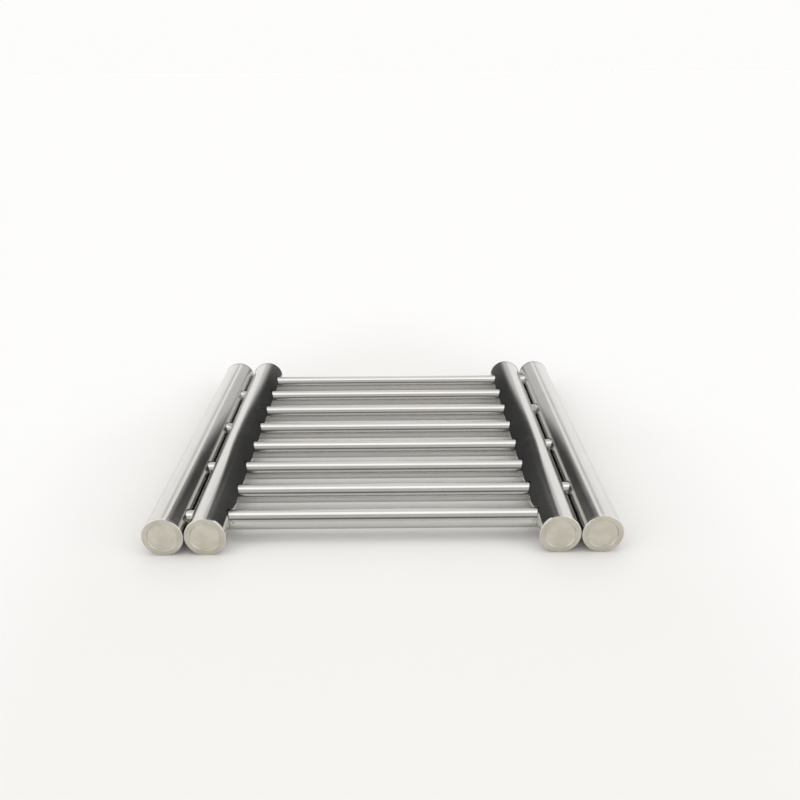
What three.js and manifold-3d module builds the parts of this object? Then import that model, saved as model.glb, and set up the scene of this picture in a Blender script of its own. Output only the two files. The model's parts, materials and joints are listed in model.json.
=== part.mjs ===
// Extending trivet of stainless tube: two equal frames whose crossbars slide through each other's rails.
// Millimetres. +X is the way it widens, +Y runs along the rails to the back, +Z is up.
// The origin is under the middle of the closed trivet, on the table.
import * as THREE from "three";
import { mergeVertices } from "three/addons/utils/BufferGeometryUtils.js";
import Module from "manifold-3d";

const wasm = await Module();
wasm.setup();

// Rails: the four thick tubes that carry the pot
const railDiameter = 19;
const railWall = 1;
const railEndChamfer = 0.3;
const railEndToBar = 14.4; // from the end of the tube to the middle of the first crossbar

// Frames: each is an outer rail and an inner rail that its crossbars hold apart
const frameSpan = 184; // between the middles of the frame's two rails
const closedGap = 0.3; // between the rims of neighbouring caps when it is pushed together

// Crossbars: thin tubes, taken in turn by the two frames
const barDiameter = 9.5;
const barWall = 0.8;
const barPitch = 25.4; // from one bar to the next, which is the other frame's
const barsPerFrame = 4;
const barEndChamfer = 0.4;
const barEndGap = 0.3; // from a bar's end to the far wall inside the rail
const barSeatClearance = 0.3; // around a bar in a hole that holds it
const barSlideClearance = 0.5; // around a bar in a hole that it slides through

// End caps: a rim over the tube's end, a dished face and a cupped spigot in the bore
const capLip = 0.2; // how far the rim stands out past the tube
const capRimThickness = 1.2;
const capRimChamfer = 0.3;
const capSeatGap = 0.2; // between the rim and the end of the tube
const capFitClearance = 0.25; // around the spigot in the bore
const capFloor = 1; // thickness of the cap behind the dish
const dishMargin = 2.55; // from the rim's outside to the dish
const dishDepth = 0.5;
const dishSlope = 0.5; // width of the dish's sloping edge
const spigotToBar = 3; // left free between the spigot's end and the first crossbar
const spigotWall = 1;
const spigotLead = 0.5;

// How far a drill runs on past the wall that it cuts
const cutOverrun = 3;

const steelColour = 0xc9c6bc;

// Facets round a rail, a cap and a crossbar. Multiples of 4 put a flat on top, below and on both sides.
const railSides = 36;
const barSides = 24;

const railRadius = railDiameter / 2;
const boreRadius = railRadius - railWall;
const barRadius = barDiameter / 2;
const capRadius = railRadius + capLip;
const railHeight = capRadius; // the caps' rims stand on the table
const neighbourPitch = 2 * capRadius + closedGap;
const outerRailX = (frameSpan + neighbourPitch) / 2;
const innerRailX = (frameSpan - neighbourPitch) / 2;
const lastBarY = ((2 * barsPerFrame - 1) * barPitch) / 2;
const railEndY = lastBarY + railEndToBar;

const railSteel = new THREE.MeshStandardMaterial({ color: steelColour, metalness: 1, roughness: 0.32 });
const barSteel = new THREE.MeshStandardMaterial({ color: steelColour, metalness: 1, roughness: 0.16 });
const capSteel = new THREE.MeshStandardMaterial({ color: steelColour, metalness: 1, roughness: 0.42 });

// A profile of [radius, y] turned about the Y axis. The facets' flats lie at the profile's radius.
function turned(profile, sides) {
  const halfFacet = Math.PI / sides;
  const points = profile.map(([radius, y]) => new THREE.Vector2(radius / Math.cos(halfFacet), y));
  return new THREE.LatheGeometry(points, sides, halfFacet);
}

// The same, laid along the X axis.
function turnedAlongX(profile, sides) {
  return turned(profile, sides).rotateZ(-Math.PI / 2);
}

function solidOf(geometry) {
  const bare = geometry.clone().deleteAttribute("normal").deleteAttribute("uv");
  const merged = mergeVertices(bare);
  return new wasm.Manifold(
    new wasm.Mesh({
      numProp: 3,
      vertProperties: merged.attributes.position.array,
      triVerts: new Uint32Array(merged.index.array),
    }),
  );
}

function geometryOf(solid) {
  const mesh = solid.getMesh();
  const geometry = new THREE.BufferGeometry();
  geometry.setAttribute("position", new THREE.BufferAttribute(mesh.vertProperties, 3));
  geometry.setIndex(new THREE.BufferAttribute(mesh.triVerts, 1));
  geometry.computeVertexNormals();
  return geometry;
}

function named(name, geometry, material) {
  const mesh = new THREE.Mesh(geometry, material);
  mesh.name = name;
  return mesh;
}

// A drill of the given radius across a rail, from x = from to x = to, at the place y along it.
function drill(radius, from, to, y) {
  const profile = [
    [0, from],
    [radius, from],
    [radius, to],
    [0, to],
  ];
  return turnedAlongX(profile, barSides).translate(0, y, 0);
}

// Where a frame's own bars lie, and where the other frame's bars pass, seen from the frame itself.
const ownBarYs = Array.from({ length: barsPerFrame }, (_, i) => -lastBarY + 2 * i * barPitch);
const passingBarYs = ownBarYs.map((y) => -y);

// A plain tube with chamfered ends, about the Y axis.
function railTube() {
  return turned(
    [
      [boreRadius, -railEndY],
      [railRadius - railEndChamfer, -railEndY],
      [railRadius, -railEndY + railEndChamfer],
      [railRadius, railEndY - railEndChamfer],
      [railRadius - railEndChamfer, railEndY],
      [boreRadius, railEndY],
      [boreRadius, -railEndY],
    ],
    railSides,
  );
}

// A rail drilled through one wall for the frame's own bars, on the side that faces its partner,
// and right through for the other frame's bars if they pass.
function rail(side, barsPass) {
  let solid = solidOf(railTube());
  const outside = railRadius + cutOverrun;
  const [from, to] = side < 0 ? [-outside, 0] : [0, outside];
  for (const y of ownBarYs) {
    const cutter = drill(barRadius + barSeatClearance, from, to, y);
    solid = solid.subtract(solidOf(cutter));
  }
  if (barsPass) {
    for (const y of passingBarYs) {
      const cutter = drill(barRadius + barSlideClearance, -outside, outside, y);
      solid = solid.subtract(solidOf(cutter));
    }
  }
  return geometryOf(solid);
}

// A crossbar runs from the far wall inside one rail to the far wall inside the other.
function crossbar() {
  const reach = Math.sqrt(boreRadius ** 2 - barRadius ** 2) - barEndGap;
  const end = frameSpan / 2 + reach;
  const bore = barRadius - barWall;
  return turnedAlongX(
    [
      [bore, -end],
      [barRadius - barEndChamfer, -end],
      [barRadius, -end + barEndChamfer],
      [barRadius, end - barEndChamfer],
      [barRadius - barEndChamfer, end],
      [bore, end],
      [bore, -end],
    ],
    barSides,
  );
}

// An end cap for the end that faces +Y, with y = 0 where its rim meets the tube.
function endCap() {
  const dishRadius = capRadius - dishMargin;
  const dishFloor = capRimThickness - dishDepth;
  const spigotRadius = boreRadius - capFitClearance;
  const spigotLength = capSeatGap + railEndToBar - barRadius - spigotToBar;
  const cupRadius = spigotRadius - spigotWall;
  const cupFloor = dishFloor - capFloor;
  return turned(
    [
      [0, cupFloor],
      [cupRadius, cupFloor],
      [cupRadius, -spigotLength],
      [spigotRadius - spigotLead, -spigotLength],
      [spigotRadius, -spigotLength + spigotLead],
      [spigotRadius, 0],
      [capRadius, 0],
      [capRadius, capRimThickness - capRimChamfer],
      [capRadius - capRimChamfer, capRimThickness],
      [dishRadius, capRimThickness],
      [dishRadius - dishSlope, dishFloor],
      [0, dishFloor],
    ],
    railSides,
  );
}

// One frame: its outer rail at -X, its inner rail at +X, their caps, and its bars between them.
function frame({ outerName, innerName, frontFirst }) {
  const group = new THREE.Group();
  const ends = frontFirst ? ["front", "back"] : ["back", "front"];
  const rails = [
    { name: outerName, x: -outerRailX, geometry: rail(1, false) },
    { name: innerName, x: innerRailX, geometry: rail(-1, true) },
  ];
  for (const { name, x, geometry } of rails) {
    const tube = named("rail_" + name, geometry, railSteel);
    tube.position.set(x, 0, railHeight);
    group.add(tube);
    ends.forEach((end, i) => {
      const way = i === 0 ? -1 : 1;
      const cap = named("cap_" + name + "_" + end, endCap(), capSteel);
      cap.position.set(x, way * (railEndY + capSeatGap), railHeight);
      cap.rotation.z = way < 0 ? Math.PI : 0;
      group.add(cap);
    });
  }
  ownBarYs.forEach((y, i) => {
    const number = frontFirst ? 2 * i + 1 : 2 * (barsPerFrame - i);
    const bar = named("crossbar_" + number, crossbar(), barSteel);
    bar.position.set((innerRailX - outerRailX) / 2, y, railHeight);
    group.add(bar);
  });
  return group;
}

// The right frame is the left one turned half round, so that their bars take turns from front to back.
// It slides to +X by frameSpan less two neighbourPitch, until the inner rails lie side by side.
const leftFrame = frame({ outerName: "outer_left", innerName: "inner_right", frontFirst: true });
const rightFrame = frame({ outerName: "outer_right", innerName: "inner_left", frontFirst: false });
rightFrame.rotation.z = Math.PI;

const trivet = new THREE.Group();
trivet.add(leftFrame, rightFrame);

export default trivet;
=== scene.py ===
import json
import math

import bpy
import numpy as np
from mathutils import Matrix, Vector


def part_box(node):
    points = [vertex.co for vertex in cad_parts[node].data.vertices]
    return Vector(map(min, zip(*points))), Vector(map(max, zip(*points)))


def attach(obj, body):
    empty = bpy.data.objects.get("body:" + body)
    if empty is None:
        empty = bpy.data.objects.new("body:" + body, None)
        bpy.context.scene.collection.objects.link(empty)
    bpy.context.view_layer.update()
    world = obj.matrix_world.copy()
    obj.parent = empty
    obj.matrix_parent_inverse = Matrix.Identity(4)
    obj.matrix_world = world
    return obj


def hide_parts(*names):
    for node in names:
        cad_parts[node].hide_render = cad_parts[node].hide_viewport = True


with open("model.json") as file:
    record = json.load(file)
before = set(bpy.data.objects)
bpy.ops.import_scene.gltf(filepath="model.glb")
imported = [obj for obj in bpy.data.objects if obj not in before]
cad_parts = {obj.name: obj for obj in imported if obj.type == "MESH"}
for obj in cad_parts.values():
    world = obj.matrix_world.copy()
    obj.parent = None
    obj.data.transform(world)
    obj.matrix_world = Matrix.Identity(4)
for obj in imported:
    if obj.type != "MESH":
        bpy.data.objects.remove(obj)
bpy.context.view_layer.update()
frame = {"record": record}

# Extending trivet of stainless tube, closed, on a pale table. Metres, +X widens, +Y to the back, +Z up.
bodyOf = {node: body for body, nodes in frame["record"]["behaviour"]["bodies"].items() for node in nodes}
railNames = ["outer_left", "inner_left", "inner_right", "outer_right"]
crossbarNumbers = range(1, 9)  # from the front
print("frame loaded:", len(bodyOf), "nodes")


# shader maths

class Wire:
    # a socket that takes part in sums; an expression adds its Math nodes to the tree
    def __init__(self, tree, socket):
        self.tree = tree
        self.socket = socket

    def math(self, operation, *others):
        # a Math node with this socket first
        return self.tree.add("ShaderNodeMath", {"operation": operation}, dict(enumerate((self, *others))))

    def __add__(self, other):
        return self.math("ADD", other)

    def __radd__(self, other):
        return self.math("ADD", other)

    def __sub__(self, other):
        return self.math("SUBTRACT", other)

    def __rsub__(self, other):
        return self.math("MULTIPLY_ADD", -1.0, other)

    def __mul__(self, other):
        return self.math("MULTIPLY", other)

    def __rmul__(self, other):
        return self.math("MULTIPLY", other)

    def __abs__(self):
        return self.math("ABSOLUTE")

    def larger(self, other):
        return self.math("MAXIMUM", other)

    def root(self):
        return self.math("SQRT")

    def centred(self):
        # noise lies about 0.5, and this about 0
        return self - 0.5

    def between(self, low, high):
        # 0 at low, 1 at high, smooth and clamped; the other way round if low is above high
        if low > high:
            return 1 - self.between(high, low)
        settings = {"interpolation_type": "SMOOTHSTEP"}
        return self.tree.add("ShaderNodeMapRange", settings, {0: self, 1: low, 2: high})


class Tree:
    # one material's or world's nodes
    def __init__(self, owner):
        owner.use_nodes = True
        self.nodes = owner.node_tree.nodes
        self.links = owner.node_tree.links
        self.nodes.clear()

    def add(self, kind, settings=None, values=None, out=0):
        # any node: its settings, then the values or links of its sockets, and out, the output wanted
        node = self.nodes.new(kind)
        for key, value in (settings or {}).items():
            setattr(node, key, value)
        for key, value in (values or {}).items():
            if isinstance(value, Wire):
                self.links.new(value.socket, node.inputs[key])
            else:
                node.inputs[key].default_value = value
        return Wire(self, node.outputs[out]) if len(node.outputs) else None

    def split(self, vector):
        # a vector's three parts
        whole = self.add("ShaderNodeSeparateXYZ", None, {0: vector})
        return [Wire(self, output) for output in whole.socket.node.outputs]

    def mixColour(self, share, first, second):
        # Mix keeps its colours in sockets 6 and 7 and their mixture in output 2
        return self.add("ShaderNodeMix", {"data_type": "RGBA"}, {0: share, 6: first, 7: second}, out=2)

    def stretched(self, place, axis, stretch, turn=(0.0, 0.0, 0.0), shift=(0.0, 0.0, 0.0)):
        # coordinates in which a pattern comes out longer along one axis, turned and shifted first
        scale = [1.0, 1.0, 1.0]
        scale[axis] = 1 / stretch
        turned = self.add("ShaderNodeMapping", None, {"Vector": place, "Location": shift, "Rotation": turn})
        return self.add("ShaderNodeMapping", None, {"Vector": turned, "Scale": scale})

    def noise(self, place, size, detail=2.0, roughness=0.5):
        # cloudy noise about 0.5, with features about size metres across
        values = {"Vector": place, "Scale": 1 / size, "Detail": detail, "Roughness": roughness}
        return self.add("ShaderNodeTexNoise", None, values)

    def bump(self, height, distance):
        return self.add("ShaderNodeBump", None, {"Height": height, "Distance": distance})

    def finish(self, kind, surface):
        self.add(kind, None, {"Surface": surface})


def rgb(red, green, blue):
    return (red, green, blue, 1.0)


# metals

railSteel = {
    "tint": rgb(0.72, 0.71, 0.685),
    "darkTint": rgb(0.62, 0.61, 0.585),
    "roughness": 0.18,
    "roughnessSpread": 0.09,
    "grainWidth": 0.0004,
    "grainStretch": 110.0,
    "grainDepth": 0.000006,
    "wearSize": 0.014,
    "scratchWidth": 0.00016,
    "scratchLength": 0.02,
    "scratchAngle": math.radians(24),
    "scratchDepth": 0.35,  # of the grain's depth
}

crossbarSteel = {
    "tint": rgb(0.61, 0.6, 0.578),
    "darkTint": rgb(0.53, 0.52, 0.498),
    "roughness": 0.12,
    "roughnessSpread": 0.07,
    "grainWidth": 0.0003,
    "grainStretch": 160.0,
    "grainDepth": 0.0000025,
    "wearSize": 0.012,
    "scratchWidth": 0.00014,
    "scratchLength": 0.014,
    "scratchAngle": math.radians(33),
    "scratchDepth": 0.25,
}

# what both brushed steels share
brushing = {
    "broadWidth": 6,  # of the broad grain, in widths of the fine grain
    "fineShare": 0.55,
    "broadShare": 0.45,
    "grainFrom": 0.25,  # noise levels between which the tint goes from dark to bright
    "grainTo": 0.75,
    "grainTint": 0.8,  # the grain's say in the tint, and the wear's
    "wearFrom": 0.3,
    "wearTo": 0.7,
    "wearTint": 0.2,
    "wearRoughness": 1.4,  # of roughnessSpread
    "scratchSets": ((1.0, 0.31), (-1.7, 0.77)),  # each one's turn, in scratchAngle, and its shift
    "scratchTilt": 0.2,  # of the turn, out of the plane of the other two turns
    "lineFrom": 0.7,  # thin noise shows as a scratch above this
    "lineTo": 0.78,
    "patchSize": 0.02,  # of the patches that have scratches
    "patchGrowth": 0.01,  # what the shift adds to it
    "patchFrom": 0.5,
    "patchTo": 0.62,
    "scratchRoughness": 0.12,
}


def finishMetal(tree, tint, roughness, normal):
    # bare metal all over
    values = {"Base Color": tint, "Metallic": 1.0, "Roughness": roughness, "Normal": normal}
    tree.finish("ShaderNodeOutputMaterial", tree.add("ShaderNodeBsdfPrincipled", None, values))


def brushedMetal(name, look, grainAlong):
    # Steel brushed along one axis. Noise drawn out along the axis gives the grain, sparse peaks of thin
    # noise at an angle to it give stray scratches, and cloudy noise gives handling wear.
    material = bpy.data.materials.new(name)
    tree = Tree(material)
    place = tree.add("ShaderNodeTexCoord", out="Object")
    along = tree.stretched(place, grainAlong, look["grainStretch"])
    fineGrain = tree.noise(along, look["grainWidth"], detail=3.0, roughness=0.6)
    broadGrain = tree.noise(along, look["grainWidth"] * brushing["broadWidth"])
    wear = tree.noise(place, look["wearSize"], detail=4.0, roughness=0.6)
    grain = fineGrain * brushing["fineShare"] + broadGrain * brushing["broadShare"]

    def scratchSet(turnShare, shift):
        # thin lines along one slant, kept in patches
        turn = turnShare * look["scratchAngle"]
        slant = (turn, brushing["scratchTilt"] * turn, turn)
        stretch = look["scratchLength"] / look["scratchWidth"]
        slanted = tree.stretched(place, grainAlong, stretch, turn=slant, shift=(shift, 0, shift))
        line = tree.noise(slanted, look["scratchWidth"], detail=0.0)
        patch = tree.noise(place, brushing["patchSize"] + brushing["patchGrowth"] * shift, detail=1.0)
        inPatch = patch.between(brushing["patchFrom"], brushing["patchTo"])
        return line.between(brushing["lineFrom"], brushing["lineTo"]) * inPatch

    first, second = brushing["scratchSets"]
    scratches = scratchSet(*first).larger(scratchSet(*second))
    brightness = grain.between(brushing["grainFrom"], brushing["grainTo"]) * brushing["grainTint"]
    brightness = brightness + wear.between(brushing["wearFrom"], brushing["wearTo"]) * brushing["wearTint"]
    tint = tree.mixColour(brightness, look["darkTint"], look["tint"])
    unevenness = look["roughnessSpread"]
    roughness = look["roughness"] + grain.centred() * unevenness
    roughness = roughness + wear.centred() * (brushing["wearRoughness"] * unevenness)
    roughness = roughness + scratches * brushing["scratchRoughness"]
    normal = tree.bump(grain - scratches * look["scratchDepth"], look["grainDepth"])
    finishMetal(tree, tint, roughness, normal)
    return material


capSteel = {
    "tint": rgb(0.645, 0.621, 0.545),
    "darkTint": rgb(0.525, 0.502, 0.43),
    "cloudFrom": 0.36,  # noise levels between which the tint goes from dark to bright
    "cloudTo": 0.64,
    "dishFrom": 0.0073,  # radii between which the dished middle grows a little brighter
    "dishTo": 0.0067,
    "dishShare": 0.4,
    "rimTint": rgb(0.7, 0.69, 0.65),
    "faceRoughness": 0.45,
    "rimRoughness": 0.22,
    "roughnessSpread": 0.14,
    "rimFrom": 0.00932,  # radii between which the matt face gives way to the bright rim
    "rimTo": 0.00945,
    "pitSize": 0.00028,
    "pitDepth": 0.000006,
    "cloudSize": 0.006,
    "turnedPitch": 0.00035,
    "turnedDepth": 0.0000012,
}


def mattedMetal(name, look):
    # Blasted steel on the face: fine pits, soft clouds and faint rings left by turning. The rim is bright
    # turned steel. The piece's own map holds the radius, in metres, and the share of the way round.
    material = bpy.data.materials.new(name)
    tree = Tree(material)
    place = tree.add("ShaderNodeTexCoord", out="Object")
    radius = tree.split(tree.add("ShaderNodeUVMap", {"uv_map": "turned"}))[0]
    rim = radius.between(look["rimFrom"], look["rimTo"])
    pits = tree.noise(place, look["pitSize"])
    clouds = tree.noise(place, look["cloudSize"], detail=3.0, roughness=0.55)
    rings = (radius * (2 * math.pi / look["turnedPitch"])).math("SINE")
    dish = radius.between(look["dishFrom"], look["dishTo"])
    cloudy = clouds.between(look["cloudFrom"], look["cloudTo"])
    brightness = cloudy * (1 - look["dishShare"]) + dish * look["dishShare"]
    face = tree.mixColour(brightness, look["darkTint"], look["tint"])
    tint = tree.mixColour(rim, face, look["rimTint"])
    unevenness = look["roughnessSpread"]
    matt = look["faceRoughness"] + clouds.centred() * unevenness + pits.centred() * unevenness
    roughness = matt + rim * (look["rimRoughness"] - matt)
    height = pits * (1 - rim) + rings * (look["turnedDepth"] / look["pitDepth"])
    finishMetal(tree, tint, roughness, tree.bump(height, look["pitDepth"]))
    return material


# surfaces

weld = {
    "cellsPerMetre": 1e6,  # points in one cell become one
    "shift": 0.37,  # of a cell, so that no round measure lies between two
}
quarterTurn = math.pi / 2


class Shell:
    # grids of points with their true normals, welded into one closed mesh
    def __init__(self):
        self.points = []
        self.normals = []
        self.charts = []
        self.quads = []
        self.count = 0

    def addGrid(self, points, normals, ringClosed=False, chart=None):
        # Points and normals: rows x columns x 3. The piece's own map, if it has one: rows x columns x 2.
        # A closed ring joins its last row to its first.
        rows, columns = points.shape[:2]
        self.charts.append(np.zeros((rows * columns, 2)) if chart is None else chart.reshape(-1, 2))
        index = self.count + np.arange(rows * columns).reshape(rows, columns)
        if ringClosed:
            index = np.vstack([index, index[:1]])
        corners = [index[:-1, :-1], index[1:, :-1], index[1:, 1:], index[:-1, 1:]]
        self.points.append(points.reshape(-1, 3))
        self.normals.append(normals.reshape(-1, 3))
        self.quads.append(np.stack(corners, axis=-1).reshape(-1, 4))
        self.count += rows * columns

    def makePiece(self, name, material, mapName=None):
        points = np.concatenate(self.points)
        normals = np.concatenate(self.normals)
        quads = np.concatenate(self.quads)
        # turn each face so that it looks the way its normals do
        corner = points[quads]
        faceNormal = np.cross(corner[:, 2] - corner[:, 0], corner[:, 3] - corner[:, 1])
        inward = np.einsum("ij,ij->i", faceNormal, normals[quads].sum(axis=1)) < 0
        quads[inward] = quads[inward][:, ::-1]
        # weld the points that share a cell and drop the sides that vanish at a pole
        keys = np.round(points * weld["cellsPerMetre"] + weld["shift"]).astype(np.int64)
        first, welded = np.unique(keys, axis=0, return_index=True, return_inverse=True)[1:]
        weldedQuads = welded.reshape(-1)[quads]
        kept = weldedQuads != np.roll(weldedQuads, -1, axis=1)
        kept[kept.sum(axis=1) < 3] = False
        sides = kept.sum(axis=1)
        starts = np.concatenate([[0], np.cumsum(sides[sides > 0])[:-1]])
        mesh = bpy.data.meshes.new(name)
        mesh.vertices.add(len(first))
        mesh.vertices.foreach_set("co", points[first].astype(np.float32).ravel())
        mesh.loops.add(int(sides.sum()))
        mesh.loops.foreach_set("vertex_index", weldedQuads[kept].astype(np.int32))
        mesh.polygons.add(len(starts))
        mesh.polygons.foreach_set("loop_start", starts.astype(np.int32))
        mesh.polygons.foreach_set("use_smooth", np.ones(len(starts), bool))
        mesh.update(calc_edges=True)
        if mesh.validate():
            print("mended", name)
        if mapName:
            chart = np.concatenate(self.charts)[quads[kept]]
            mesh.uv_layers.new(name=mapName).data.foreach_set("uv", chart.astype(np.float32).ravel())
        mesh.normals_split_custom_set(normals[quads[kept]])
        mesh.materials.append(material)
        piece = bpy.data.objects.new(name, mesh)
        bpy.context.scene.collection.objects.link(piece)
        return piece


def spread(low, high, steps):
    # evenly spaced values: low + (high - low) * i / steps
    return np.linspace(low, high, steps + 1)


def turnedGrid(profile, normals, sides, centre, axis):
    # a profile of (radius, place along the axis) carried round the axis:
    # point = centre + radius * (cos, sin) across the axis + place along it
    angle = np.linspace(0, 2 * np.pi, sides, endpoint=False)[:, None]
    across = [i for i in range(3) if i != axis]
    points = np.zeros((sides, len(profile), 3))
    directions = np.zeros_like(points)
    for target, source in ((points, profile), (directions, normals)):
        target[..., across[0]] = np.cos(angle) * source[:, 0]
        target[..., across[1]] = np.sin(angle) * source[:, 0]
        target[..., axis] = source[:, 1]
    return points + np.asarray(centre), directions


def roundedProfile(corners, arcPoints):
    # corners: (radius, place, rounding). Each corner becomes an arc that starts and ends at
    # rounding * tan(half its turn) from it, on its two straight sides. As angle goes from 0 to the turn,
    # normal = cos angle * the left of the way in - sin angle * the way in, and
    # point = the arc's middle - rounding * normal, or plus where the path turns right.
    # The normals point to the left of the path. A corner without rounding stays sharp.
    points, normals = [], []
    corner = np.array([entry[:2] for entry in corners], float)
    rounding = [entry[2] for entry in corners]
    way = np.diff(corner, axis=0)
    way /= np.linalg.norm(way, axis=1)[:, None]
    left = np.stack([-way[:, 1], way[:, 0]], axis=1)
    for i, point in enumerate(corner):
        if i in (0, len(corner) - 1):
            side = left[0] if i == 0 else left[-1]
            points.append(point)
            normals.append(side)
            continue
        before, after = way[i - 1], way[i]
        turn = math.atan2(before[0] * after[1] - before[1] * after[0], before @ after)
        if rounding[i] == 0:
            points += [point, point]
            normals += [left[i - 1], left[i]]
            continue
        reach = rounding[i] * abs(math.tan(turn / 2))
        bulge = math.copysign(rounding[i], turn)
        middle = point - before * reach + left[i - 1] * bulge
        angle = np.linspace(0, turn, arcPoints)[:, None]
        sides = np.cos(angle) * left[i - 1] - np.sin(angle) * before
        points += list(middle - sides * bulge)
        normals += list(sides)
    return np.array(points), np.array(normals)


# rails

railShape = {
    "wall": 0.001,
    "endRounding": 0.0003,
    "endSteps": 4,
    "holeRounding": 0.00025,
    "holeSteps": 5,
    "seatClearance": 0.0003,
    "slideClearance": 0.0005,
    "sideAngle": math.radians(52),  # half the arc of wall that a drilled patch takes
    "sideSteps": 18,
    "topSteps": 14,
    "lengthSteps": 16,
    "ringSteps": 8,  # from a hole to its patch's edge
    "ringCrowding": 1.4,  # above 1 they lie closer near the hole
    "decimals": 9,  # rounded to these, the rows that neighbouring patches share are one
}


def wallPoint(radius, angle, y):
    # round the tube: (radius cos angle, y, radius sin angle)
    return np.stack([radius * np.cos(angle), y + 0 * angle, radius * np.sin(angle)], axis=-1)


def plainPatch(shell, walls, angles, ys, middle):
    # part of a plain wall, every angle with every y: the outer face looks out and the inner face in
    angle, y = np.meshgrid(angles, ys, indexing="ij")
    for radius, outward in zip(walls, (1, -1)):
        normal = wallPoint(1.0, angle, 0 * y) * outward
        shell.addGrid(wallPoint(radius, angle, y) + middle, normal)


def drilledPatch(shell, walls, side, station, halfLength, hole, middle):
    # One patch of both walls with a hole along X through it. Each line of the grid runs from the patch's
    # edge over the outer wall to the hole, round its lip, through the wall and back over the inner wall.
    # Round the hole: angle = arcsin(hole radius * sin turn / wall radius), y = hole radius * cos turn,
    # and from there in shares to the edge point that lies the same turn away.
    outer, inner = walls
    half = railShape["sideAngle"]
    across = spread(-half, half, railShape["sideSteps"])
    length = spread(-halfLength, halfLength, railShape["lengthSteps"])
    # the patch's edge, once round: bottom side, far end, top side, near end
    onesAlong = np.ones(railShape["lengthSteps"])
    onesAcross = np.ones(railShape["sideSteps"])
    edgeAngle = np.concatenate([-half * onesAlong, across[:-1], half * onesAlong, across[:0:-1]])
    edgeY = np.concatenate([length[:-1], halfLength * onesAcross, length[:0:-1], -halfLength * onesAcross])
    turn = np.arctan2(edgeAngle / half, edgeY / halfLength)
    lip = railShape["holeRounding"]

    def wallRun(radius, ringRadius, shares):
        # from the ring round the hole, share 0, to the patch's edge, share 1, in the unrolled wall
        ringAngle = np.arcsin(ringRadius * np.sin(turn) / radius)[:, None]
        ringY = (ringRadius * np.cos(turn))[:, None]
        angle = ringAngle + (edgeAngle[:, None] - ringAngle) * shares
        y = ringY + (edgeY[:, None] - ringY) * shares
        normal = wallPoint(1.0, angle, 0 * y)
        return wallPoint(radius, angle, y), normal

    shares = spread(0, 1, railShape["ringSteps"]) ** railShape["ringCrowding"]
    outerPoints, outerNormals = wallRun(outer, hole + lip, shares[::-1])
    innerPoints, innerNormals = wallRun(inner, hole, shares)
    # the lip: a quarter round from the outer wall into the hole,
    # lip * (1 - sin) wider than the hole and lip * (1 - cos) deeper than the wall
    quarter = spread(0, quarterTurn, railShape["holeSteps"])
    ring = hole + lip * (1 - np.sin(quarter))
    ringZ = np.sin(turn)[:, None] * ring
    ringX = np.sqrt(outer ** 2 - ringZ ** 2) - lip * (1 - np.cos(quarter))
    lipPoints = np.stack([ringX, np.cos(turn)[:, None] * ring, ringZ], axis=-1)
    toAxis = np.stack([0 * turn, -np.cos(turn), -np.sin(turn)], axis=-1)[:, None, :]
    lipNormals = outerNormals[:, -1:, :] * np.cos(quarter)[:, None] + toAxis * np.sin(quarter)[:, None]
    # straight through the wall
    wallEnds = np.stack([lipPoints[:, -1], innerPoints[:, 0]], axis=1)
    wallNormals = np.repeat(toAxis, 2, axis=1)
    mirror = np.array([side, 1, 1])
    for points, normals in (
        (outerPoints, outerNormals),
        (lipPoints, lipNormals),
        (wallEnds, wallNormals),
        (innerPoints, -innerNormals),
    ):
        shell.addGrid(points * mirror + middle + [0, station, 0], normals * mirror, ringClosed=True)


def railEnd(shell, walls, ring, end, way, middle):
    # One end of a rail, all round: a rounded lip at radius - rounding * (1 - cos) and
    # end - rounding * (1 - sin), the flat cut face, and the bore's first stretch.
    # ring holds the angles round, in a column.
    outer, inner = walls
    rounding = railShape["endRounding"]
    quarter = spread(0, quarterTurn, railShape["endSteps"])
    lipRadii = outer - rounding + rounding * np.cos(quarter)
    lipPlaces = way * (end - rounding + rounding * np.sin(quarter))
    lipAngles = ring + 0 * quarter
    lipNormals = wallPoint(np.cos(quarter), lipAngles, 0 * lipPlaces + way * np.sin(quarter))
    shell.addGrid(wallPoint(lipRadii, lipAngles, lipPlaces) + middle, lipNormals, ringClosed=True)
    faceRadii = np.array([outer - rounding, inner])
    facePoints = wallPoint(faceRadii, ring + 0 * faceRadii, way * end + 0 * faceRadii)
    faceNormals = np.zeros_like(facePoints)
    faceNormals[..., 1] = way
    shell.addGrid(facePoints + middle, faceNormals, ringClosed=True)
    borePlaces = way * np.array([end, end - rounding])
    boreAngles = ring + 0 * borePlaces
    boreNormals = -wallPoint(1.0, boreAngles, 0 * borePlaces)
    shell.addGrid(wallPoint(inner, boreAngles, borePlaces) + middle, boreNormals, ringClosed=True)


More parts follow.
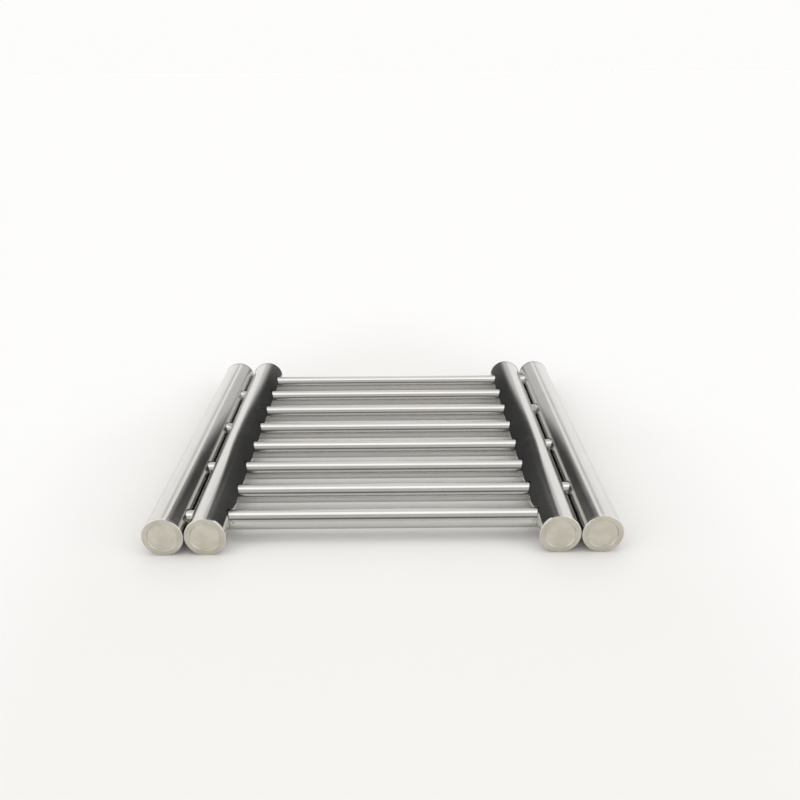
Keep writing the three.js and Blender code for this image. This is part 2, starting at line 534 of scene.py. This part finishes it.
def makeRail(name, material):
    # A tube about Y. The strips along its top and bottom are plain. Its sides are patches, one for each
    # bar's station and drilled where that bar comes in, with a plain tail at each end.
    node = "rail_" + name
    low, high = (np.array(corner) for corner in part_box(node))
    middle = (low + high) / 2
    outer = (high[2] - low[2]) / 2
    inner = outer - railShape["wall"]
    walls = (outer, inner)
    end = (high[1] - low[1]) / 2
    bars = [[np.array(corner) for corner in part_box(f"crossbar_{i}")] for i in crossbarNumbers]
    stations = [(bar[0][1] + bar[1][1]) / 2 for bar in bars]
    halfPitch = (stations[1] - stations[0]) / 2
    patchYs = spread(-halfPitch, halfPitch, railShape["lengthSteps"])
    stripYs = np.concatenate([patchYs + y for y in stations])
    stripYs = np.unique(np.round(stripYs, railShape["decimals"]))
    tailEnd = end - railShape["endRounding"]
    tails = [np.array([stripYs[-1], tailEnd]), np.array([-tailEnd, stripYs[0]])]
    half = railShape["sideAngle"]
    across = spread(-half, half, railShape["sideSteps"])
    over = spread(half - quarterTurn, quarterTurn - half, railShape["topSteps"])
    shell = Shell()
    for turnedBy in (quarterTurn, -quarterTurn):
        for ys in [stripYs, *tails]:
            plainPatch(shell, walls, turnedBy + over, ys, middle)
    for side in (1, -1):
        angles = across if side == 1 else math.pi - across
        for ys in tails:
            plainPatch(shell, walls, angles, ys, middle)
        for bar, station in zip(bars, stations):
            barRadius = (bar[1][2] - bar[0][2]) / 2
            reachesLeft = bar[0][0] < middle[0] - outer
            reachesRight = bar[1][0] > middle[0] + outer
            comesIn = bar[0][0] < middle[0] + inner and bar[1][0] > middle[0] - inner
            passes = reachesLeft and reachesRight
            seated = comesIn and (reachesRight if side == 1 else reachesLeft)
            if passes or seated:
                hole = barRadius + railShape["slideClearance" if passes else "seatClearance"]
                drilledPatch(shell, walls, side, station, halfPitch, hole, middle)
            else:
                plainPatch(shell, walls, angles, station + patchYs, middle)
    # the ends take the same angles round as the patches
    arcs = [across[:-1], quarterTurn + over[:-1], math.pi + across[:-1], over[:-1] - quarterTurn]
    ring = np.concatenate(arcs)[:, None]
    for way in (1, -1):
        railEnd(shell, walls, ring, end, way, middle)
    piece = shell.makePiece("tube_" + name, material)
    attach(piece, bodyOf[node])
    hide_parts(node)


railMaterial = brushedMetal("brushed rail steel", railSteel, grainAlong=1)
for railName in railNames:
    makeRail(railName, railMaterial)
print("rails made")


# crossbars

crossbarShape = {
    "wall": 0.0008,
    "endRounding": 0.0004,
    "boreRounding": 0.0001,
    "arcPoints": 5,  # in each rounded corner
    "sides": 72,
    "lengthSteps": 12,
}


def makeCrossbar(number, material):
    # a profile turned about X: from the bore round the left end, along the outside, and in at the right
    node = f"crossbar_{number}"
    low, high = (np.array(corner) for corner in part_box(node))
    middle = (low + high) / 2
    radius = (high[2] - low[2]) / 2
    bore = radius - crossbarShape["wall"]
    end = (high[0] - low[0]) / 2
    rounding = crossbarShape["endRounding"]
    boreRounding = crossbarShape["boreRounding"]
    corners = [(bore, 0, 0), (bore, -end, boreRounding), (radius, -end, rounding)]
    corners += [(radius, place, 0) for place in spread(-end, end, crossbarShape["lengthSteps"])[1:-1]]
    corners += [(radius, end, rounding), (bore, end, boreRounding), (bore, 0, 0)]
    profile, normals = roundedProfile(corners, crossbarShape["arcPoints"])
    shell = Shell()
    shell.addGrid(*turnedGrid(profile, -normals, crossbarShape["sides"], middle, axis=0), ringClosed=True)
    piece = shell.makePiece(f"bar_{number}", material)
    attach(piece, bodyOf[node])
    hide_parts(node)


crossbarMaterial = brushedMetal("polished crossbar steel", crossbarSteel, grainAlong=0)
for barNumber in crossbarNumbers:
    makeCrossbar(barNumber, crossbarMaterial)
print("crossbars made")


# end caps

capShape = {
    "rimThickness": 0.0012,
    "rimRounding": 0.00035,
    "rimBackRounding": 0.00008,
    "dishMargin": 0.00255,
    "dishDepth": 0.0005,
    "dishSlope": 0.0003,
    "dishRounding": 0.00018,
    "floor": 0.001,
    "spigotRadius": 0.00825,
    "spigotWall": 0.001,
    "spigotLead": 0.0005,
    "arcPoints": 5,  # in each rounded corner
    "sides": 96,
}


def makeCap(name, end, material):
    # a profile turned about Y: from the middle of the dish over rim and spigot to the back of the cup
    node = f"cap_{name}_{end}"
    low, high = (np.array(corner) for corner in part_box(node))
    middle = (low + high) / 2
    radius = (high[2] - low[2]) / 2
    way = -1 if end == "front" else 1
    face = high[1] if way > 0 else low[1]
    depth = high[1] - low[1]
    shape = capShape
    dish = radius - shape["dishMargin"]
    spigot = shape["spigotRadius"]
    cup = spigot - shape["spigotWall"]
    dishFloor = -shape["dishDepth"]
    corners = [
        (0, dishFloor, 0),
        (dish - shape["dishSlope"], dishFloor, shape["dishRounding"]),
        (dish, 0, shape["dishRounding"]),
        (radius, 0, shape["rimRounding"]),
        (radius, -shape["rimThickness"], shape["rimBackRounding"]),
        (spigot, -shape["rimThickness"], 0),
        (spigot, -depth + shape["spigotLead"], 0),
        (spigot - shape["spigotLead"], -depth, 0),
        (cup, -depth, 0),
        (cup, dishFloor - shape["floor"], 0),
        (0, dishFloor - shape["floor"], 0),
    ]
    profile, normals = roundedProfile(corners, shape["arcPoints"])
    profile[:, 1] = face + way * profile[:, 1] - middle[1]
    normals[:, 1] *= way
    points, directions = turnedGrid(profile, normals, shape["sides"], middle, axis=1)
    chart = np.zeros(points.shape[:2] + (2,))
    chart[..., 0] = profile[:, 0]  # the radius
    chart[..., 1] = np.linspace(0, 1, shape["sides"], endpoint=False)[:, None]  # the way round
    shell = Shell()
    shell.addGrid(points, directions, ringClosed=True, chart=chart)
    piece = shell.makePiece(f"plug_{name}_{end}", material, mapName="turned")
    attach(piece, bodyOf[node])
    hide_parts(node)


capMaterial = mattedMetal("matt cap steel", capSteel)
for railName in railNames:
    for endName in ("front", "back"):
        makeCap(railName, endName, capMaterial)
print("end caps made")


# table, light and camera

table = {
    # the near tint is painted shade about the object, the far tint painted light
    "nearTint": rgb(0.85, 0.839, 0.827),
    "farTint": rgb(0.906, 0.905, 0.902),
    "farFrom": 0.12,  # distances between which the first tint gives way to the second
    "farTo": 0.24,
    "sideSoft": 0.05,
    "backFrom": 0.02,  # behind this the distance grows by backShare of the way
    "backShare": 0.6,
    "roughness": 0.8,
    "mottleSize": 0.004,
    "mottleTint": 0.096,  # of the way between the two tints
    "mottleDepth": 0.00002,
    "halfWidth": 8.0,
    "front": -4.0,
    "back": 16.0,
    "steps": 8,
}


def makeTable():
    # One flat sheet: x and y on a grid, z = 0. It grows paler to the sides and the back, with the distance
    # root(x^2 + sideSoft^2) + backShare * (y - backFrom), whose second part is 0 in front of backFrom. The
    # darker near tint is painted shade about the object, and the paler far tint is painted light.
    xs = spread(-table["halfWidth"], table["halfWidth"], table["steps"])
    ys = spread(table["front"], table["back"], table["steps"])
    points = np.stack(np.broadcast_arrays(xs[:, None], ys, 0.0), axis=-1)
    normals = np.zeros_like(points)
    normals[..., 2] = 1
    material = bpy.data.materials.new("pale table")
    tree = Tree(material)
    place = tree.add("ShaderNodeTexCoord", out="Object")
    x, y = tree.split(place)[:2]
    sideways = (x * x + table["sideSoft"] ** 2).root()
    backward = (y - table["backFrom"]).larger(0.0) * table["backShare"]
    far = (sideways + backward).between(table["farFrom"], table["farTo"])
    mottle = tree.noise(place, table["mottleSize"], detail=3.0).centred()
    tint = tree.mixColour(far - mottle * table["mottleTint"], table["nearTint"], table["farTint"])
    normal = tree.bump(mottle, table["mottleDepth"])
    values = {"Base Color": tint, "Roughness": table["roughness"], "Normal": normal}
    tree.finish("ShaderNodeOutputMaterial", tree.add("ShaderNodeBsdfPrincipled", None, values))
    shell = Shell()
    shell.addGrid(points, normals)
    shell.makePiece("table", material)


# glowing screens seen only in reflections: a painted dark reflection on the polished tubes
paintedReflectionScreen = {
    "level": 0.055,
    "farShare": 0.68,  # how much of the level is left away from the front
    "nearY": -0.085,
    "farY": -0.03,
    "upperFrom": 0.0182,  # heights between which its upper part, that the outer rails mirror, begins
    "upperTo": 0.0235,
    "upperLevel": 0.015,  # what that part adds, and what it adds at the front
    "upperNearLevel": 0.06,
    "riseFrom": 0.0187,  # it grows lighter with height + riseSlope * y
    "riseTo": 0.0463,
    "riseSlope": 0.302,
    "crestInFront": 0.193,  # by up to this much in front and behind
    "crestBehind": 0.579,
    "crestFrom": -0.0125,
    "crestTo": 0.0178,
    "backLevel": 0.7,  # and how light it grows again at the back
    "backFrom": 0.06,
    "backTo": 0.26,
    "clearance": 0.0003,  # from the inner rail
    "hugFrom": math.radians(84),  # round the rail from its top towards the middle
    "hugFromInFront": math.radians(64),
    "hugTo": math.radians(30),
    "hugSteps": 12,
    "openTo": -0.09,  # in front of this it starts at the second angle, and soon behind it at the first
    "openLength": 0.008,
    "bellyX": 0.0975,
    "bellyZ": 0.037,
    "bellyY": 0.025,
    "bellyLength": 0.04,  # how fast it falls off to the front
    "bellyBackLength": 0.13,
    "edgeX": 0.0936,
    "edgeZ": 0.103,
    "front": -0.1034,
    "closeTo": -0.06,  # in front of this its rows lie closer
    "back": 0.36,
    "frontSteps": 24,
    "backSteps": 84,
}


def paintedReflectionMaterial():
    # How light the screens glow: an emission that paints a dark reflection, not a lamp. The lower part has
    # level at the front and farShare of it behind. The upper part adds upperLevel, upperNearLevel at the
    # front, and crest * rise^2, where rise goes from 0 to 1 with z + riseSlope * y. Towards the back all of
    # it goes over to backLevel.
    shape = paintedReflectionScreen
    material = bpy.data.materials.new("painted dark reflection")
    tree = Tree(material)
    y, z = tree.split(tree.add("ShaderNodeTexCoord", out="Object"))[1:]
    near = y.between(shape["farY"], shape["nearY"])
    upper = z.between(shape["upperFrom"], shape["upperTo"])
    rise = (z + y * shape["riseSlope"]).between(shape["riseFrom"], shape["riseTo"])
    behindCrest = y.between(shape["crestFrom"], shape["crestTo"])
    crest = shape["crestInFront"] + behindCrest * (shape["crestBehind"] - shape["crestInFront"])
    level = (shape["farShare"] + near * (1 - shape["farShare"])) * shape["level"]
    level = level + upper * (rise * rise * crest + near * shape["upperNearLevel"] + shape["upperLevel"])
    behind = y.between(shape["backFrom"], shape["backTo"])
    level = level + behind * (shape["backLevel"] - level)
    tree.finish("ShaderNodeOutputMaterial", tree.add("ShaderNodeEmission", None, {"Strength": level}))
    material.cycles.emission_sampling = "NONE"
    return material


def makePaintedReflectionScreens():
    # Two glowing screens that only reflections see: a painted dark reflection. They give the polished tubes
    # their dark inner sides. Each hugs an inner rail's inner side and leans outward above it. Across: an
    # arc about the rail, the belly, the edge. The belly swells from the straight line between arc and edge
    # by exp(-((y - bellyY) / length)^2), with one length in front of bellyY and another behind it. The arc
    # starts at hugFrom, and at the front end nearer the rail's top, with exp(-((y - openTo) /
    # openLength)^2) between them.
    shape = paintedReflectionScreen
    material = paintedReflectionMaterial()
    low, high = (np.array(corner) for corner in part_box("rail_inner_right"))
    railX = (low[0] + high[0]) / 2
    railZ = (low[2] + high[2]) / 2
    hugRadius = (high[2] - low[2]) / 2 + shape["clearance"]
    frontYs = spread(shape["front"], shape["closeTo"], shape["frontSteps"])
    backYs = spread(shape["closeTo"], shape["back"], shape["backSteps"])
    ys = np.concatenate([frontYs, backYs[1:]])[:, None]
    openness = np.exp(-(np.maximum(ys - shape["openTo"], 0) / shape["openLength"]) ** 2)
    start = shape["hugFrom"] + (shape["hugFromInFront"] - shape["hugFrom"]) * openness
    hugAngle = start + (shape["hugTo"] - start) * spread(0, 1, shape["hugSteps"])
    hugX = railX - hugRadius * np.sin(hugAngle)
    hugZ = railZ + hugRadius * np.cos(hugAngle)
    share = (shape["bellyZ"] - hugZ[0, -1]) / (shape["edgeZ"] - hugZ[0, -1])
    straightX = hugX[0, -1] + (shape["edgeX"] - hugX[0, -1]) * share
    length = np.where(ys < shape["bellyY"], shape["bellyLength"], shape["bellyBackLength"])
    swell = np.exp(-((ys - shape["bellyY"]) / length) ** 2)
    bellyX = straightX + (shape["bellyX"] - straightX) * swell
    across = np.concatenate([hugX, bellyX, shape["edgeX"] + 0 * ys], axis=1)
    up = np.concatenate([hugZ, shape["bellyZ"] + 0 * ys, shape["edgeZ"] + 0 * ys], axis=1)
    for side, name in ((-1, "left"), (1, "right")):
        points = np.stack([side * across, ys + 0 * across, up], axis=-1)
        normals = np.zeros_like(points)
        normals[..., 0] = side
        shell = Shell()
        shell.addGrid(points, normals)
        # a glowing sheet that paints a dark reflection, hidden from camera, diffuse and shadow rays
        screen = shell.makePiece("painted_reflection_screen_" + name, material)
        for seenBy in ("visible_camera", "visible_diffuse", "visible_shadow", "visible_transmission"):
            setattr(screen, seenBy, False)
        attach(screen, bodyOf["rail_inner_" + name])  # it goes with its rail


room = {
    "tint": rgb(1.0, 0.995, 0.985),
    "back": 1.05,
    "overhead": 1.75,
    "front": 0.75,
    "overheadFrom": math.radians(68),  # all angles up from the back of the room, over the top to the front
    "overheadTo": math.radians(98),
    "overheadSoft": math.radians(5),
    "sideFront": 1.85,  # far to the left and the right, in front and behind
    "sideBack": 0.45,
    "sideTurn": 0.35,  # the one gives way to the other from this far in front to as far behind
    "sideFrom": 0.42,
    "sideTo": 0.62,
    "sideEndFrom": 0.6,  # no further back than this, where the rails would mirror it
    "sideEndTo": 0.8,
    "gapFrom": math.radians(137),
    "gapTo": math.radians(156),
    "gapSoft": math.radians(5),
    "gapLevel": 0.25,
    "gapHalfWidth": 0.4,
    "gapEdge": 0.1,
    "seamFrom": math.radians(12),  # either side of the middle, round the way the rails point
    "seamAt": math.radians(17),
    "seamTo": math.radians(38),
    "seamLevel": 0.55,
    "stripTo": math.radians(10),
    "stripLevel": 1.05,
    "stripBackFrom": 0.7,  # strip and seams lie further back than this
    "stripBackTo": 0.8,
    "seen": 0.985,  # what the camera sees past the table
}


def lightScene():
    # A soft room as a pattern of directions: pale behind, bright overhead, greyer in front with a dark gap
    # low down, bright to both sides in front, and dimmer to both sides behind. Over the back a bright strip
    # between two seams runs the way the rails point.
    world = bpy.data.worlds.new("soft room")
    bpy.context.scene.world = world
    tree = Tree(world)
    x, y, z = tree.split(tree.add("ShaderNodeTexCoord", out="Generated"))
    rise = z.math("ARCTAN2", y)
    soft = room["overheadSoft"]
    overhead = rise.between(room["overheadFrom"] - soft, room["overheadFrom"] + soft)
    past = rise.between(room["overheadTo"] - soft, room["overheadTo"] + soft)
    level = room["back"] + overhead * (room["overhead"] - room["back"])
    level = level + past * (room["front"] - room["overhead"])
    inFront = y.between(room["sideTurn"], -room["sideTurn"])
    sideLevel = room["sideBack"] + inFront * (room["sideFront"] - room["sideBack"])
    wide = abs(x).between(room["sideFrom"], room["sideTo"])
    wide = wide * y.between(room["sideEndTo"], room["sideEndFrom"])
    level = level + wide * (sideLevel - level)
    soft = room["gapSoft"]
    gap = rise.between(room["gapFrom"] - soft, room["gapFrom"] + soft)
    gap = gap * rise.between(room["gapTo"] + soft, room["gapTo"] - soft)
    edge = room["gapEdge"]
    gap = gap * abs(x).between(room["gapHalfWidth"] + edge, room["gapHalfWidth"] - edge)
    level = level * (1 - gap * (1 - room["gapLevel"]))
    aside = abs(x.math("ARCTAN2", z))
    toBack = y.between(room["stripBackFrom"], room["stripBackTo"])
    strip = aside.between(room["stripTo"], 0)
    seam = aside.between(room["seamFrom"], room["seamAt"]) * aside.between(room["seamTo"], room["seamAt"])
    level = level * (1 + toBack * strip * (room["stripLevel"] - 1))
    level = level * (1 - toBack * seam * (1 - room["seamLevel"]))
    seen = tree.add("ShaderNodeLightPath", out="Is Camera Ray")
    level = level * (1 - seen) + seen * room["seen"]
    background = tree.add("ShaderNodeBackground", None, {"Color": room["tint"], "Strength": level})
    tree.finish("ShaderNodeOutputWorld", background)


view = {
    "place": (0.00683, -0.4312, 0.21295),
    "down": 0.393,  # angles in radians
    "right": 0.00443,
    "roll": -0.006,
    "focalPixels": 822.3,
    "imagePixels": 800.0,
    "sensor": 36.0,  # in millimetres, as the lens is
    "clipFrom": 0.01,
    "clipTo": 50,
}


def addCamera():
    # forward = (sin right * cos down, cos right * cos down, -sin down), side = (cos right, -sin right, 0),
    # up = side x forward, then side and up turned by roll. Lens = focalPixels / imagePixels * sensor.
    down, right, roll = view["down"], view["right"], view["roll"]
    flat = math.cos(down)
    forward = np.array([math.sin(right) * flat, math.cos(right) * flat, -math.sin(down)])
    side = np.array([math.cos(right), -math.sin(right), 0.0])
    up = np.cross(side, forward)
    rolledSide = math.cos(roll) * side + math.sin(roll) * up
    rolledUp = -math.sin(roll) * side + math.cos(roll) * up
    camera = bpy.data.objects.new("camera", bpy.data.cameras.new("camera"))
    camera.data.sensor_width = view["sensor"]
    camera.data.lens = view["focalPixels"] / view["imagePixels"] * view["sensor"]
    camera.data.clip_start = view["clipFrom"]
    camera.data.clip_end = view["clipTo"]
    rows = [[rolledSide[i], rolledUp[i], -forward[i], view["place"][i]] for i in range(3)]
    camera.matrix_world = Matrix(rows + [[0, 0, 0, 1]])
    bpy.context.scene.collection.objects.link(camera)
    bpy.context.scene.camera = camera


makeTable()
makePaintedReflectionScreens()
lightScene()
addCamera()
bpy.context.scene.view_settings.view_transform = "Standard"
print("table, light and camera placed")
